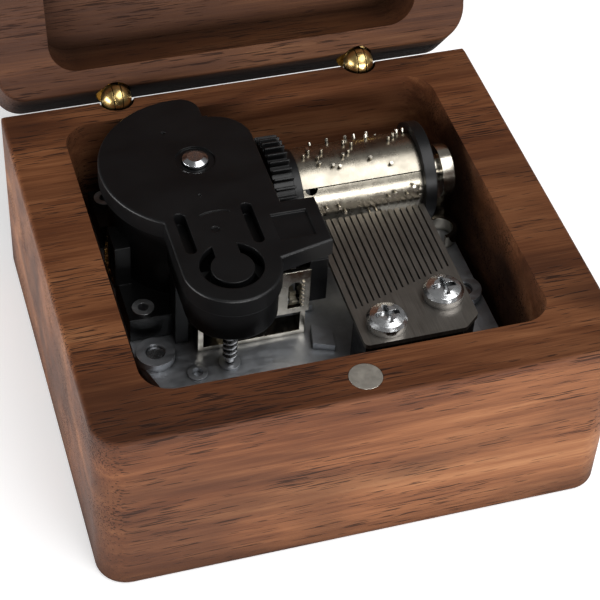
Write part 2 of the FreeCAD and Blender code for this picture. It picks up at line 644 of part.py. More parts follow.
def make_cover():
    low, high = size("cover_split"), size("cover_top")
    shape = cover_outline(low, high)
    rim = [edge for edge in shape.Edges if all(abs(v.Z - high) < 1e-6 for v in edge.Vertexes)]
    shape = shape.makeFillet(size("cover_edge"), rim)
    ax, ay = size("arbor_x"), size("arbor_y")
    tx, ty = size("tongue_x"), size("tongue_y")
    spring_room = Part.makeCylinder(size("spring_room"), size("spring_room_height"), Vector(ax, ay, low))
    spring_room = spring_room.common(
        Part.makeBox(60, 60, 10, Vector(-size("cover_side") - 1.2 - 60, -20, low)))
    cup_room = Part.makeCylinder(size("tongue_radius") - size("cover_wall"), size("cup_room_height"),
                                 Vector(tx, ty, low))
    arbor_hole = Part.makeCylinder(size("arbor_top_radius") + size("running_gap"), 10, Vector(ax, ay, low - 1))
    ring_well = Part.makeCylinder(size("ring_well_radius"), size("ring_well_depth"),
                                  Vector(ax, ay, high - size("ring_well_depth")))
    slots = [slot_shape(x, size("vent_front"), size("vent_back"), size("vent_width"),
                        low + size("vent_skin"), high + 1) for x in SLOT_PLACES]
    neck = size("dial_neck")
    keyhole = Part.makeCylinder(size("dial_outer"), 8, Vector(tx, ty, low + size("dial_skin"))).cut(
        Part.makeCylinder(size("dial_inner"), 8, Vector(tx, ty - 0.4, low)).fuse(
            Part.makeBox(neck, 6, 8, Vector(tx - neck / 2, ty, low))))
    mark_low = high - size("mark_depth")
    marks = [Part.makeCylinder(radius, 1, Vector(x, y, mark_low)) for x, y, radius in COVER_MARKS]
    arc_x, arc_y, arc_radius, arc_width, arc_span = COVER_ARC
    arc = Part.makeCylinder(arc_radius, 1, Vector(arc_x, arc_y, mark_low)).cut(
        Part.makeCylinder(arc_radius - arc_width, 1, Vector(arc_x, arc_y, mark_low)))
    arc_start = Vector(arc_x - arc_span / 2, arc_y, mark_low)
    marks.append(arc.common(Part.makeBox(arc_span, arc_radius, 1, arc_start)))
    well = Part.makeBox(5.4, 5.4, 0.5, Vector(-4.9, -7.2, high - 0.4))
    for tool in [spring_room, cup_room, arbor_hole, ring_well, well, keyhole] + slots + marks:
        shape = shape.cut(tool)
    shaped("movement_cover", shape.removeSplitter())


def make_frame():
    """The lower plastic moulding: governor cup, spring housing wall, feet and bearing tabs."""
    split = size("cover_split")
    ax, ay = size("arbor_x"), size("arbor_y")
    tx, ty = size("tongue_x"), size("tongue_y")
    low = size("frame_bottom")
    plate = size("pocket_floor") + size("plate_thick")
    half = size("tongue_radius") - size("tongue_step")
    cup = Part.makeCylinder(half, split - low, Vector(tx, ty, low))
    tongue = Part.makeBox(2 * half, size("tongue_length"), split - low, Vector(tx - half, ty, low))
    wing_low = size("wing_bottom")
    wing_edge = size("wing_right") - size("wing_tuck")
    wing_back = size("wing_back_edge")
    wing_points = [(tx, wing_back), (wing_edge, wing_back), (wing_edge, size("wing_front_right")),
                   (tx, size("wing_front_left"))]
    corners = [Vector(px, py, wing_low) for px, py in wing_points]
    wing = Part.Face(Part.makePolygon(corners + corners[:1])).extrude(Vector(0, 0, split - wing_low))
    wall = Part.makeCylinder(size("housing_outer"), split - size("housing_bottom"),
                             Vector(ax, ay, size("housing_bottom")))
    wall = wall.common(Part.makeBox(60, 60, 30, Vector(-4.0 - 60, 0.7, 10)))
    crown_room = Part.makeCylinder(size("crown_outer") + 0.35, size("housing_bottom") - plate,
                                   Vector(ax, ay, plate))
    foot_height = size("housing_bottom") + size("foot_rise") - plate
    feet = [Part.makeBox(7.4, 9.6, foot_height, Vector(-26.1, -3.0, plate)),
            Part.makeBox(8.4, 8.4, foot_height, Vector(-26.1, 17.7, plate))]
    feet = [foot.cut(crown_room) for foot in feet]
    length, height, rim = size("window_length"), size("window_height"), size("window_rim")
    window_low = size("housing_bottom") + size("foot_rise")
    window = Part.makeBox(size("window_width"), length, height, Vector(-26.5, 4.6, window_low))
    pane = Vector(-26.5, 4.6 + rim / 2, window_low + 1.4)
    window = window.cut(Part.makeBox(0.5, length - rim, height - 2.5, pane))
    feet.append(window)
    leg = Part.makeBox(size("leg_width"), size("leg_length"), low - plate, Vector(-19.7, -5.0, plate))
    pillar_low = size("pillar_bottom")
    pillar = Part.makeBox(size("pillar_width"), size("pillar_length"), wing_low - pillar_low,
                          Vector(wing_edge - size("pillar_width"), -8.0, pillar_low))
    shelf = Part.makeBox(size("shelf_width"), size("shelf_length"), split - wing_low,
                         Vector(wing_edge - size("shelf_width"), -1.9, wing_low))
    tab = size("tab_width")
    left_tab = Part.makeBox(size("tab_thick"), tab, wing_low - second_z + tab / 2,
                            Vector(-5.2, second_y - tab / 2, second_z - tab / 2))
    right_tab = Part.makeBox(0.55, 4.0, split - second_z + 2.0, Vector(1.75, second_y - 2.0, second_z - 2.0))
    right_tab = right_tab.cut(Part.makeBox(5, 5, 5, Vector(0, 0.45, wing_low)))
    tie = Part.makeBox(2.0, 2.6, split - wing_low, Vector(-5.2, 0.4, wing_low))
    tab_low = size("cyl_z") - 2.6
    cyl_tab = Part.makeBox(0.6, 11.2, split - tab_low, Vector(-3.05, size("cyl_y") - 2.5, tab_low))
    tab_tie = Part.makeBox(2.15, 3.0, split - tab_low, Vector(-4.6, size("cyl_y") + 5.7, tab_low))
    solid = cup.multiFuse([tongue, wing, wall, leg, pillar, shelf, left_tab, right_tab, tie, cyl_tab,
                           tab_tie] + feet)
    spring_room = Part.makeCylinder(size("housing_inner"), 30, Vector(ax, ay, plate))
    spring_room = spring_room.common(Part.makeBox(60, 60, 30, Vector(-60 - 3.35, -20, plate)))
    cup_room = Part.makeCylinder(size("tongue_radius") - size("cup_wall"), 10,
                                 Vector(tx, ty, low + size("cup_floor")))
    worm_hole = Part.makeCylinder(size("worm_tip") + 0.3, 10, Vector(tx, size("worm_y"), low - 1))
    rivets = [Part.makeCylinder(size("eyelet_hole"), 20, Vector(float(x), float(y), plate - 1))
              for x, y in FOOT_PLACES]
    axles = [Part.makeCylinder(size("axle_radius") + size("running_gap"), 30, Vector(-6, second_y, second_z), X),
             Part.makeCylinder(size("shaft_radius") + size("running_gap"), 12,
                               Vector(-6, size("cyl_y"), size("cyl_z")), X)]
    solid = solid.cut(spring_room.multiFuse([cup_room, worm_hole] + rivets + axles))
    shaped("movement_frame", solid.removeSplitter())


def make_rivets():
    eyelets = []
    for x, y in FOOT_PLACES:
        tube = rod("1.15", "6.1", x, y, "pocket_floor + 0.3")
        flange = rod("1.65", "0.35", x, y, "housing_bottom + 2")
        hollow = rod("0.8", "8", x, y, "pocket_floor + 0.9")
        eyelets.append(cut(join(tube, flange), hollow))
    node("frame_rivets", grouped(eyelets))


def make_governor_bracket():
    """A bent nickel bracket: a sole, two ears for the worm wheel's axle, and an arched front."""
    low = plate_top
    ends = [f"{wheel_y} - 1.6", f"{wheel_y} + 1.6"]
    sole = block("-16.9", "-0.5", *ends, low, f"{low} + 0.8")
    left_ear = block("-16.9", "-16.1", *ends, low, f"{wheel_z} + 1.8")
    right_ear = block("-1.3", "-0.5", *ends, low, "27.5")
    cheek = block("-1.3", "-0.5", "-8.9", ends[1], "19.9", "27.5")
    front = block("-5.4", "-0.5", "-8.9", "-8.2", "19.9", "28.3")
    arch = join(block("-3.8", "-1.8", "-9.5", "-7.0", "20.9", "25.2"),
                rod("1.0", "3", "-2.8", "-9.8", "25.2", "Y"))
    teeth = [block("-1.75", "-1.4", "-9.15", "-8.8", f"21 + {step} * 0.8", f"21.4 + {step} * 0.8")
             for step in range(7)]
    bores = rod("axle_radius + running_gap", "30", "-20", str(wheel_y), str(wheel_z), "X")
    return node("governor_bracket", cut(join(sole, left_ear, right_ear, cheek, front, *teeth), arch, bores))


def make_bearing_bracket():
    """The nickel post that holds the cylinder's right end, with its foot and curled tab."""
    low = plate_top
    post = block("26.3", "28.2", "cyl_y - 1.6", "cyl_y + 1.6", low, "cyl_z")
    head = rod("4.2", "1.9", "26.3", "cyl_y", "cyl_z - 0.7", "X")
    nose = rod("2.2", "2.0", "24.4", "cyl_y", "cyl_z", "X")
    foot = block("25.0", "28.8", "cyl_y - 3.2", "cyl_y + 3.2", low, f"{low} + 1.2")
    curl = cut(rod("2.6", "2.4", "26.3", "7.2", low), rod("1.9", "5", "26.3", "7.2", low),
               block("20", "26.3", "0", "9.0", low, f"{low} + 5"))
    bore = rod("shaft_radius + running_gap", "10", "20", "cyl_y", "cyl_z", "X")
    node("bearing_bracket", cut(join(post, head, nose, foot, curl), bore))


# ---------------------------------------------------------------- winding key, arbor, barrel, spring

def make_winding():
    low = "key_clearance"
    hub = rod("3.0", "key_rise", "arbor_x", "arbor_y", low)
    bar = block("arbor_x - key_span + 5", "arbor_x + key_span - 5", "arbor_y - key_thick / 2",
                "arbor_y + key_thick / 2", low, f"{low} + key_rise")
    lobes = [rod("key_rise / 2 + 1.6", "key_thick", f"arbor_x + {side} * (key_span - 4.4)",
                 "arbor_y - key_thick / 2", f"{low} + key_rise / 2", "Y") for side in (-1, 1)]
    slab = block("arbor_x - key_span", "arbor_x + key_span", "arbor_y - 4", "arbor_y + 4", low,
                 f"{low} + key_rise")
    bore = rod("arbor_radius", "10", "arbor_x", "arbor_y", low)
    node("winding_key", cut(common(join(hub, bar, *lobes), slab), bore))

    shaft = rod("arbor_radius", f"cover_split - {low}", "arbor_x", "arbor_y", low)
    top = rod("arbor_top_radius", "cover_top - cover_split + 0.35", "arbor_x", "arbor_y", "cover_split - 0.1")
    dome = cone("arbor_top_radius", "1.2", "0.45", "arbor_x", "arbor_y", "cover_top + 0.25")
    node("winding_arbor", join(shaft, top, dome))

    teeth = 12
    points = []
    for index in range(teeth):
        for angle, radius in ((0.0, 4.6), (0.02, 5.4)):
            turn = 2 * math.pi * (index + angle) / teeth
            points.append(Vector(radius * math.cos(turn), radius * math.sin(turn), 0))
    wheel = Part.Face(Part.makePolygon(points + points[:1])).extrude(Vector(0, 0, 0.7))
    wheel = wheel.cut(Part.makeCylinder(size("arbor_radius"), 2, Vector(0, 0, -1)))
    ratchet = shaped("ratchet_wheel", wheel)
    ratchet.Placement = Placement(Vector(size("arbor_x"), size("arbor_y"), 29.7), Rotation())
    click = block("arbor_x - 8.6", "arbor_x - 5.7", "arbor_y - 0.5", "arbor_y + 0.5", "29.9", "30.3")
    stud = rod("0.9", "0.8", "arbor_x - 8.6", "arbor_y", "29.7")
    node("ratchet_click", join(click, stud))


def make_barrel():
    body = new_body("spring_barrel")
    disc = sketch_on(body, "XY_Plane")
    add_circle(disc, "crown_outer")
    add_circle(disc, "arbor_radius + running_gap")
    pad(body, disc, "crown_disc")
    wall = sketch_on(body, "XY_Plane")
    add_circle(wall, "barrel_outer")
    add_circle(wall, "barrel_outer - barrel_wall")
    pad(body, wall, "barrel_top - barrel_bottom - 0.8")
    tooth = sketch_on(body, "XY_Plane", "crown_disc - 0.1")
    add_outline(tooth, rectangle("crown_inner", "crown_outer", "-crown_tooth_width / 2", "crown_tooth_width / 2"))
    one = pad(body, tooth, "crown_tooth_rise + 0.1")
    around(body, one, "crown_teeth")
    place(body, "arbor_x", "arbor_y", "barrel_bottom")
    lid = rod("barrel_outer", "0.7", "arbor_x", "arbor_y", "barrel_top - 0.75")
    node("barrel_lid", cut(lid, rod("arbor_radius + running_gap", "5", "arbor_x", "arbor_y", "barrel_top - 2")))


def make_mainspring():
    """A flat spiral strip, wound out from just clear of the arbor to the barrel's wall."""
    thick, pitch = size("spring_thick"), size("spring_pitch")
    start = 2.3
    steps_per_turn = 24
    steps = int(size("spring_turns") * steps_per_turn)

    def edge_points(offset):
        found = []
        for step in range(steps + 1):
            turn = 2 * math.pi * step / steps_per_turn
            radius = start + pitch * step / steps_per_turn + offset
            found.append(Vector(radius * math.cos(turn), radius * math.sin(turn), 0))
        return found
    outline = edge_points(0.0) + list(reversed(edge_points(thick)))
    strip = Part.Face(Part.makePolygon(outline + outline[:1])).extrude(Vector(0, 0, 11.6))
    spring = shaped("mainspring", strip)
    spring.Placement = Placement(Vector(size("arbor_x"), size("arbor_y"), 15.4), Rotation())


# ---------------------------------------------------------------- cylinder, gear and governor train

def around_cylinder(angle, radius, x=0.0):
    """A point about the cylinder's axis, the angle measured from +Y towards +Z."""
    turn = math.radians(angle)
    return Vector(x, size("cyl_y") + radius * math.cos(turn), size("cyl_z") + radius * math.sin(turn))


def make_cylinder():
    length = "cyl_right - cyl_left"
    tube = cut(rod("cyl_radius", length, "cyl_left", "cyl_y", "cyl_z", "X"),
               rod("cyl_radius - cyl_wall", f"{length} + 2", "cyl_left - 1", "cyl_y", "cyl_z", "X"))
    doc.recompute()
    inner, outer = size("cyl_radius") - 1.0, size("cyl_radius") + 1.0
    seam = Part.makeBox(size("cyl_right") - size("cyl_left") + 2, outer - inner, size("seam_width"))
    seam.rotate(Vector(), X, size("seam_angle"))
    seam.translate(around_cylinder(size("seam_angle"), inner, size("cyl_left") - 1))
    notch_angle = size("seam_angle") + math.degrees(0.1 / size("cyl_radius"))
    notch_base = around_cylinder(notch_angle, inner, size("cyl_left") + 1.35)
    outward = around_cylinder(notch_angle, 1.0) - around_cylinder(notch_angle, 0.0)
    notch = Part.makeCylinder(size("notch_radius"), outer - inner, notch_base, outward)
    below = Part.makeBox(30, 8, 8, Vector(size("cyl_left") - 1, 0, 0))
    below.rotate(Vector(), X, size("seam_angle"))
    below.translate(around_cylinder(size("seam_angle"), 0, 0) - Vector(0, 0, 0))
    shape = tube.Shape.cut(seam).cut(notch.common(below))
    shaped("cylinder_sleeve", shape)

    pins = []
    notes = int(size("note_count"))
    pitch = (size("comb_right") - size("comb_left")) / notes
    base = size("cyl_radius") - size("cyl_wall") / 2
    for note in range(notes):
        x = size("comb_left") + pitch * (note + 0.5)
        for beat in range(4 + note % 3):
            angle = (note * 83 + beat * 360 / (4 + note % 3) + 17 * ((note * beat) % 5)) % 360
            if abs((angle - size("seam_angle") + 180) % 360 - 180) < 7:
                continue
            direction = around_cylinder(angle, 1.0) - around_cylinder(angle, 0.0)
            pins.append(Part.makeCylinder(size("pin_radius"), size("pin_rise") + size("cyl_wall") / 2 - 0.01,
                                          around_cylinder(angle, base + 0.01, x), direction))
    drilled = nodes["cylinder_sleeve"].Shape.cut(Part.makeCompound(pins))
    nodes["cylinder_sleeve"].Shape = drilled
    shaped("cylinder_pins", Part.makeCompound(pins))


def make_cylinder_ends():
    hub = join(rod("cyl_radius + 0.1", "cyl_left - gear_right", "gear_right", "cyl_y", "cyl_z", "X"),
               rod("cyl_radius - cyl_wall", "1.2", "cyl_left", "cyl_y", "cyl_z", "X"))
    node("cylinder_hub", cut(hub, rod("shaft_radius", "20", "0", "cyl_y", "cyl_z", "X")))
    cap = join(rod("cap_radius", "cap_thick", "cyl_right", "cyl_y", "cyl_z", "X"),
               rod("cyl_radius - cyl_wall", "1.2", "cyl_right - 1.2", "cyl_y", "cyl_z", "X"))
    node("cylinder_end_cap", cut(cap, rod("shaft_radius", "20", "15", "cyl_y", "cyl_z", "X")))
    node("cylinder_shaft", rod("shaft_radius", "31.0", "-3.0", "cyl_y", "cyl_z", "X"))


def make_train():
    gear_phase = -90.0 + 180.0 / size("cyl_teeth")
    toothed_wheel("cylinder_gear", "cyl_teeth", "cyl_root", "cyl_tip", "gear_right - gear_left",
                  "shaft_radius", gear_phase, "gear_left", "cyl_y", "cyl_z", "0.55", "0.3")

    to_second = math.degrees(math.atan2(second_z - size("cyl_z"), second_y - size("cyl_y")))
    second_phase = mating_phase(to_second, size("cyl_teeth"), gear_phase, size("second_teeth"))
    toothed_wheel("second_pinion", "second_teeth", "second_root", "second_tip", "2.6", "axle_radius",
                  second_phase, "-1.3", str(second_y), str(second_z), "0.5", "0.28")
    toothed_wheel("second_wheel", "second_wheel_teeth", "second_wheel_root", "second_wheel_tip", "0.7",
                  "axle_radius", second_phase, "-2.6", str(second_y), str(second_z), "0.5", "0.25")
    node("second_axle", rod("axle_radius", "7.4", "-5.1", str(second_y), str(second_z), "X"))

    to_worm_wheel = math.degrees(math.atan2(wheel_z - second_z, wheel_y - second_y))
    leaf_phase = mating_phase(to_worm_wheel, size("second_wheel_teeth"), second_phase, size("leaf_teeth"))
    toothed_wheel("leaf_pinion", "leaf_teeth", "leaf_root", "leaf_tip", "0.9", "axle_radius",
                  leaf_phase, "-2.7", str(wheel_y), str(wheel_z), "0.5", "0.25")
    toothed_wheel("worm_wheel", "worm_wheel_teeth", "worm_wheel_root", "worm_wheel_tip", "1.0",
                  "axle_radius", 180.0, "worm_x - 0.5", str(wheel_y), str(wheel_z), "0.42", "0.28")
    node("worm_wheel_axle", rod("axle_radius", "16.2", "-16.8", str(wheel_y), str(wheel_z), "X"))


def make_governor():
    """The upright worm, and the friction weights that it carries inside the cup."""
    plate = size("pocket_floor") + size("plate_thick")
    x, y, pitch = size("worm_x"), size("worm_y"), size("worm_pitch")
    turns = 9
    start = wheel_z + pitch / 4 - 5 * pitch
    helix = Part.makeHelix(pitch, turns * pitch, size("worm_core"))
    inner, outer = size("worm_core") - 0.12, size("worm_tip")
    profile = Part.makePolygon([Vector(inner, 0, -0.27), Vector(outer, 0, -0.14), Vector(outer, 0, 0.14),
                                Vector(inner, 0, 0.27), Vector(inner, 0, -0.27)])
    thread = Part.Wire(helix).makePipeShell([profile], True, True)
    thread.translate(Vector(x, y, start))
    core = Part.makeCylinder(size("worm_core"), 31.4 - plate - 0.7, Vector(x, y, plate + 0.7))
    pivot = Part.makeCylinder(0.5, 1.4, Vector(x, y, plate - 0.3))
    worm = core.multiFuse([pivot, thread])
    shaped("governor_worm", worm)
    hub = Part.makeCylinder(1.7, 3.4, Vector(x, y, 27.0)).cut(
        Part.makeCylinder(size("worm_core"), 9, Vector(x, y, 25)))
    spider = Part.makeBox(2 * size("governor_reach") - 1.6, 1.0, 0.5,
                          Vector(x - size("governor_reach") + 0.8, y - 0.5, 28.4))
    spider = spider.cut(Part.makeCylinder(1.0, 9, Vector(x, y, 25)))
    shaped("governor_spider", hub.fuse(spider).removeSplitter())
    ring = Part.makeCylinder(size("governor_reach"), 2.6, Vector(x, y, 27.2)).cut(
        Part.makeCylinder(size("governor_reach") - 1.5, 9, Vector(x, y, 25)))
    weights = []
    for side in (-1, 1):
        half = Part.makeBox(8, 7.0, 5, Vector(x + (0.9 if side > 0 else -8.9), y - 3.5, 26.5))
        weight = ring.common(half).cut(spider)
        weights.append(weight)
    shaped("governor_weights", Part.makeCompound(weights))


# ---------------------------------------------------------------- build, check and write

make_box_body()
make_lid()
make_magnets()
make_hinges()
make_bedplate()
make_mounting_screws()
make_comb()
make_comb_screws()
make_cover()
make_frame()
make_rivets()
make_governor_bracket()
make_bearing_bracket()
make_winding()
make_barrel()
make_mainspring()
make_cylinder()
make_cylinder_ends()
make_train()
make_governor()
doc.recompute()

for thing in doc.Objects:
    bad = [word for word in thing.State if word in ("Invalid", "Error")]
    if bad:
        raise RuntimeError(f"{thing.Name} ({thing.Label}): {thing.State}")
for label, thing in nodes.items():
    if thing.Shape.isNull() or not thing.Shape.isValid() or not thing.Shape.Solids:
        raise RuntimeError(f"{label}: no valid solid")

os.makedirs("parts", exist_ok=True)
for label, thing in nodes.items():
    thing.Shape.exportStep(f"parts/{label}.step")
    print(f"{label}: {len(thing.Shape.Solids)} solid(s), {thing.Shape.Volume:.2f} mm3")
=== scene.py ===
import json
import math

import bpy
from mathutils import Matrix, Vector

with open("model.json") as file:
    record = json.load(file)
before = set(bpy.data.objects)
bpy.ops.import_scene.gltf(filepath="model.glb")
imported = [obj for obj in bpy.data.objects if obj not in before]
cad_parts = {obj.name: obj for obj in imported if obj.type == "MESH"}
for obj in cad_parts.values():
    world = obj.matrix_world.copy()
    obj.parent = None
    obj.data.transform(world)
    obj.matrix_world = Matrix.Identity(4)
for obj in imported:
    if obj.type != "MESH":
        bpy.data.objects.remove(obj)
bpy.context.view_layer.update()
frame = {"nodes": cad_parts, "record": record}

# Looks of a walnut music box: procedural materials for each piece of the model, and the studio round it.
# Lengths are metres. A texture's size is given as its feature size along X, Y and Z.

MM = 0.001
NODES = frame["nodes"]
OPEN_ANGLE = math.radians(105)
FLOOR_DROP = 0.00002  # keeps the floor's face apart from the case's underside


# ---------------------------------------------------------------- node helpers

class Shader:
    """A material's node tree, with short names for the nodes that the materials here use."""

    def __init__(self, name):
        self.material = bpy.data.materials.new(name)
        self.material.use_nodes = True
        self.tree = self.material.node_tree
        self.surface = self.tree.nodes["Principled BSDF"]

    def node(self, kind, **settings):
        made = self.tree.nodes.new(kind)
        for key, value in settings.items():
            setattr(made, key, value)
        return made

    def feed(self, socket, value):
        if isinstance(value, bpy.types.NodeSocket):
            self.tree.links.new(value, socket)
        else:
            socket.default_value = value

    def point(self, turn=0.0):
        """The place on the object, turned about X so that the lid's planks lie as when it is shut."""
        found = self.node("ShaderNodeTexCoord").outputs["Object"]
        if turn:
            spin = self.node("ShaderNodeMapping")
            spin.inputs["Rotation"].default_value = (turn, 0, 0)
            self.feed(spin.inputs["Vector"], found)
            found = spin.outputs["Vector"]
        return found

    def sized(self, point, size):
        """The place measured in features of the given size along X, Y and Z."""
        scale = self.node("ShaderNodeMapping")
        scale.inputs["Scale"].default_value = [1 / length for length in size]
        self.feed(scale.inputs["Vector"], point)
        return scale.outputs["Vector"]

    def noise(self, point, size, detail=3.0, roughness=0.5, distortion=0.0):
        made = self.node("ShaderNodeTexNoise")
        self.feed(made.inputs["Vector"], self.sized(point, size))
        made.inputs["Scale"].default_value = 1.0
        made.inputs["Detail"].default_value = detail
        made.inputs["Roughness"].default_value = roughness
        made.inputs["Distortion"].default_value = distortion
        return made.outputs["Fac"]

    def math(self, operation, first, second=0.0, clamp=False):
        made = self.node("ShaderNodeMath", operation=operation, use_clamp=clamp)
        self.feed(made.inputs[0], first)
        self.feed(made.inputs[1], second)
        return made.outputs[0]

    def spread(self, value, low, high, to_low=0.0, to_high=1.0):
        """The value stretched from one range to another, and held there."""
        made = self.node("ShaderNodeMapRange")
        ends = {"From Min": low, "From Max": high, "To Min": to_low, "To Max": to_high}
        for name, number in ends.items():
            made.inputs[name].default_value = number
        self.feed(made.inputs["Value"], value)
        return made.outputs["Result"]

    def ramp(self, value, stops):
        made = self.node("ShaderNodeValToRGB")
        elements = made.color_ramp.elements
        while len(elements) < len(stops):
            elements.new(0.5)
        for element, (place, colour) in zip(elements, stops):
            element.position = place
            element.color = (*colour, 1)
        self.feed(made.inputs["Fac"], value)
        return made.outputs["Color"]

    def mix(self, amount, first, second, blend="MIX"):
        made = self.node("ShaderNodeMix", data_type="RGBA", blend_type=blend)
        self.feed(made.inputs["Factor"], amount)
        for socket, value in ((made.inputs[6], first), (made.inputs[7], second)):
            self.feed(socket, (*value, 1) if isinstance(value, tuple) else value)
        return made.outputs[2]

    def bump(self, height, depth, strength=1.0, under=None):
        made = self.node("ShaderNodeBump")
        made.inputs["Strength"].default_value = strength
        made.inputs["Distance"].default_value = depth
        self.feed(made.inputs["Height"], height)
        if under is not None:
            self.feed(made.inputs["Normal"], under)
        return made.outputs["Normal"]

    def ao_mask_for_painted_shade(self, reach, low=0.35, high=0.95):
        """Ambient-occlusion mask used to paint shade into colours: 0 where the surface is shut in by others
        within reach, 1 in the open.
        """
        made = self.node("ShaderNodeAmbientOcclusion", samples=4)
        made.inputs["Distance"].default_value = reach
        return self.spread(made.outputs["AO"], low, high)

    def rounded(self, radius):
        """The surface's normal with its sharp edges rounded off, as moulding and tumbling leave them."""
        made = self.node("ShaderNodeBevel", samples=4)
        made.inputs["Radius"].default_value = radius
        return made.outputs["Normal"]

    def finish(self, **sockets):
        for name, value in sockets.items():
            label = name.replace("_", " ").title().replace("Ior", "IOR")
            self.feed(self.surface.inputs[label], value)
        return self.material


# ---------------------------------------------------------------- materials

RING_WIDTH = 0.0052
RING_WANDER = 0.03
DARK_HEART = (0.038, 0.014, 0.007)
PORE = (0.014, 0.006, 0.004)
WALNUT_SHADES = [
    (0.0, (0.030, 0.0090, 0.0040)),
    (0.35, (0.088, 0.0300, 0.0118)),
    (0.62, (0.160, 0.0620, 0.0255)),
    (1.0, (0.275, 0.1290, 0.0580)),
]


def walnut(name, turn=0.0, pith=(0.012, -0.085), offset=0.0, tone=1.0):
    """Oiled walnut: soft rings about a pith line along X, wandering streaks, fine fibres and open pores.

    pith is the line's place across and below the case, offset shifts the rings, and tone scales the shades.
    """
    s = Shader(name)
    point = s.point(turn)
    drift = s.noise(point, (0.06, 0.02, 0.02), detail=2.0)
    apart = s.node("ShaderNodeSeparateXYZ")
    s.feed(apart.inputs[0], point)
    across = s.math("ADD", apart.outputs["Y"], pith[0])
    up = s.math("ADD", apart.outputs["Z"], -pith[1])
    radius = s.math("SQRT", s.math("ADD", s.math("MULTIPLY", across, across), s.math("MULTIPLY", up, up)))
    wander = s.math("MULTIPLY", s.math("SUBTRACT", drift, 0.5), RING_WANDER)
    rings = s.math("ADD", s.math("MULTIPLY", s.math("ADD", radius, wander), 1 / RING_WIDTH), offset)
    band = s.math("POWER", s.math("FRACT", rings), 3.0)
    soft = s.math("MULTIPLY", band, s.math("SUBTRACT", 1.0, band))
    broad = s.noise(point, (0.09, 0.013, 0.013), detail=3.0, distortion=0.7)
    streak = s.noise(point, (0.032, 0.0011, 0.0011), detail=5.0, roughness=0.65)
    dash = s.noise(point, (0.012, 0.00042, 0.00042), detail=3.0, roughness=0.6)
    fibre = s.noise(point, (0.006, 0.00016, 0.00016), detail=2.0, roughness=0.6)
    value = s.math("ADD", s.math("MULTIPLY", s.spread(broad, 0.3, 0.7), 0.5),
                   s.math("MULTIPLY", s.spread(streak, 0.3, 0.7), 0.28))
    value = s.math("SUBTRACT", s.math("ADD", value, 0.12), s.math("MULTIPLY", soft, 0.34))
    value = s.math("ADD", value, s.math("MULTIPLY", s.math("SUBTRACT", fibre, 0.5), 0.4))
    value = s.math("ADD", value, s.math("MULTIPLY", s.math("SUBTRACT", dash, 0.5), 0.3), clamp=True)
    colour = s.ramp(value, [(place, tuple(c * tone for c in shade)) for place, shade in WALNUT_SHADES])
    figure = s.noise(point, (0.055, 0.017, 0.017), detail=2.5, roughness=0.55, distortion=0.4)
    colour = s.mix(s.spread(figure, 0.56, 0.40, 0.0, 0.55), colour, DARK_HEART)
    pore = s.noise(point, (0.0046, 0.00022, 0.00022), detail=1.5, roughness=0.45)
    crowd = s.spread(s.noise(point, (0.03, 0.008, 0.008), detail=1.5), 0.35, 0.65, 0.71, 0.535)
    pores = s.spread(s.math("SUBTRACT", pore, crowd), 0.0, 0.05)
    colour = s.mix(s.math("MULTIPLY", pores, 0.8), colour, PORE)
    # Painted shade: where other surfaces shut the walnut in within 9 mm (ambient occlusion), its colour is
    # darkened to a quarter and its roughness is raised.
    free_of_painted_shade = s.ao_mask_for_painted_shade(0.009, 0.25, 0.85)
    colour = s.mix(free_of_painted_shade, s.mix(0.25, (0.0, 0.0, 0.0), colour), colour)
    height = s.math("SUBTRACT", s.math("MULTIPLY", fibre, 0.5), pores)
    normal = s.bump(height, 0.00006, 0.55)
    roughness = s.math("ADD", s.spread(fibre, 0.3, 0.7, 0.46, 0.58), s.math("MULTIPLY", pores, 0.2))
    shut_in = s.math("SUBTRACT", 1.0, free_of_painted_shade)
    roughness = s.math("ADD", roughness, s.math("MULTIPLY", shut_in, 0.5), clamp=True)
    s.surface.inputs["Specular IOR Level"].default_value = 0.14
    return s.finish(base_color=colour, roughness=roughness, normal=normal)


def plated(name, colour, rough=(0.14, 0.3), grain=(0.0012, 0.0012, 0.0012), wave=0.00002, cloud=0.9,
           painted_shade_reach=0.0007):
    """Bright plating over pressed metal: slight waves, clouded shine and fine rubbing marks."""
    s = Shader(name)
    point = s.point()
    mottle = s.noise(point, (0.0026, 0.0026, 0.0026), detail=4.0)
    rub = s.noise(point, grain, detail=3.0, roughness=0.65)
    dull = tuple(c * cloud * 0.82 for c in colour)
    shade = s.mix(s.spread(mottle, 0.35, 0.7), colour, dull)
    # Painted shade: the plating's colour falls to about a sixth of itself where other surfaces shut it in
    # within a fraction of a millimetre (ambient occlusion).
    shade = s.mix(s.ao_mask_for_painted_shade(painted_shade_reach), tuple(c * 0.16 for c in colour), shade)
    roughness = s.spread(s.math("ADD", s.math("MULTIPLY", mottle, 0.5), s.math("MULTIPLY", rub, 0.5)),
                         0.35, 0.65, *rough)
    normal = s.bump(rub, wave, 0.35, s.bump(mottle, wave * 3, 0.3, s.rounded(0.0001)))
    return s.finish(base_color=shade, metallic=1.0, roughness=roughness, normal=normal)


def brushed(name, colour, lines, rough=(0.26, 0.42)):
    """Ground steel, with its grinding lines along one way."""
    s = Shader(name)
    point = s.point()
    line = s.noise(point, lines, detail=3.0, roughness=0.7)
    stain = s.noise(point, (0.004, 0.004, 0.004), detail=3.0)
    shade = s.mix(s.spread(line, 0.3, 0.7), tuple(c * 0.72 for c in colour), colour)
    shade = s.mix(s.spread(stain, 0.45, 0.75, 0.0, 0.45), shade, tuple(c * 0.5 for c in colour))
    roughness = s.spread(line, 0.3, 0.7, *rough)
    return s.finish(base_color=shade, metallic=1.0, roughness=roughness, normal=s.bump(line, 0.00002, 0.5))


